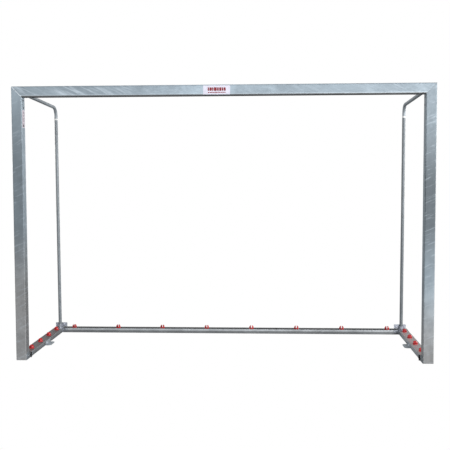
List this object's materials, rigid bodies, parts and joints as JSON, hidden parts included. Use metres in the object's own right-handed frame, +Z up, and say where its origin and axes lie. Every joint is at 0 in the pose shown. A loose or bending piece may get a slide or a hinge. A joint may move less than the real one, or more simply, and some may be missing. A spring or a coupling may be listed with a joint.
{
  "type": "soccer goal frame",
  "caption": "Free-standing steel goal frame for futsal or handball: square-tube mouth, flat base bars with net clips, slim rear uprights and fold-in side frames.",
  "frame": {"origin": "on the floor, below the middle of the object's bounding box", "axes": "+X across the mouth to the right as a shooter sees it, +Y from the mouth to the back, +Z up"},
  "size_m": [3.16, 1.1606, 2.08],
  "materials": {
    "galvanised_steel": "hot-dip galvanised, dull with fine spangle",
    "zinc_plated_steel": "bright zinc plated",
    "red_plastic": "moulded, satin",
    "white_nylon": "moulded nylon, satin",
    "black_plastic": "moulded, matt",
    "label": "printed vinyl sticker, satin"
  },
  "bodies": {
    "front_frame": {"left_post": "galvanised_steel", "right_post": "galvanised_steel", "crossbar": "galvanised_steel", "left_corner_elbow": "galvanised_steel", "right_corner_elbow": "galvanised_steel", "corner_bolts": "zinc_plated_steel", "post_foot_plugs": "black_plastic", "crossbar_label": "label", "post_label": "label", "left_post_hinge_leaf": "galvanised_steel", "right_post_hinge_leaf": "galvanised_steel", "post_hinge_bolts": "zinc_plated_steel", "foot_hinge_pins": "zinc_plated_steel", "left_clevis": "galvanised_steel", "right_clevis": "galvanised_steel", "clevis_bolts": "zinc_plated_steel", "clevis_pins": "zinc_plated_steel"},
    "left_side_frame": {"left_base_bar": "galvanised_steel", "left_base_bar_plugs": "black_plastic", "left_bar_hinge_leaf": "galvanised_steel", "left_bar_hinge_bolts": "zinc_plated_steel", "left_upright": "galvanised_steel", "left_arm": "galvanised_steel", "left_arm_eye": "zinc_plated_steel", "left_joint_collar": "white_nylon", "left_joint_spigot": "galvanised_steel", "left_corner_bracket": "zinc_plated_steel", "left_saddle_clamp": "zinc_plated_steel", "left_saddle_bolts": "zinc_plated_steel", "left_bracket_bolts": "zinc_plated_steel", "left_anchor_tab": "galvanised_steel", "left_anchor_bolts": "zinc_plated_steel", "left_net_clips": "red_plastic", "left_clip_screws": "zinc_plated_steel"},
    "right_side_frame": {"right_base_bar": "galvanised_steel", "right_base_bar_plugs": "black_plastic", "right_bar_hinge_leaf": "galvanised_steel", "right_bar_hinge_bolts": "zinc_plated_steel", "right_upright": "galvanised_steel", "right_arm": "galvanised_steel", "right_arm_eye": "zinc_plated_steel", "right_joint_collar": "white_nylon", "right_joint_spigot": "galvanised_steel", "right_corner_bracket": "zinc_plated_steel", "right_saddle_clamp": "zinc_plated_steel", "right_saddle_bolts": "zinc_plated_steel", "right_bracket_bolts": "zinc_plated_steel", "right_anchor_tab": "galvanised_steel", "right_anchor_bolts": "zinc_plated_steel", "right_net_clips": "red_plastic", "right_clip_screws": "zinc_plated_steel"},
    "rear_bar_set": {"rear_bar": "galvanised_steel", "rear_bar_plugs": "black_plastic", "rear_net_clips": "red_plastic", "rear_clip_screws": "zinc_plated_steel"}
  },
  "joints": [
    {"name": "left_side_fold", "type": "hinge", "parent": "front_frame", "child": "left_side_frame", "pos_m": [-1.4925, -0.48725, 0.024], "axis": [0, 0, -1], "range_deg": [0, 90]},
    {"name": "right_side_fold", "type": "hinge", "parent": "front_frame", "child": "right_side_frame", "pos_m": [1.4925, -0.48725, 0.024], "axis": [0, 0, 1], "range_deg": [0, 90]},
    {"name": "rear_bar_release", "type": "slide", "parent": "front_frame", "child": "rear_bar_set", "axis": [0, 1, 0], "range_m": [0, 0.3]}
  ]
}
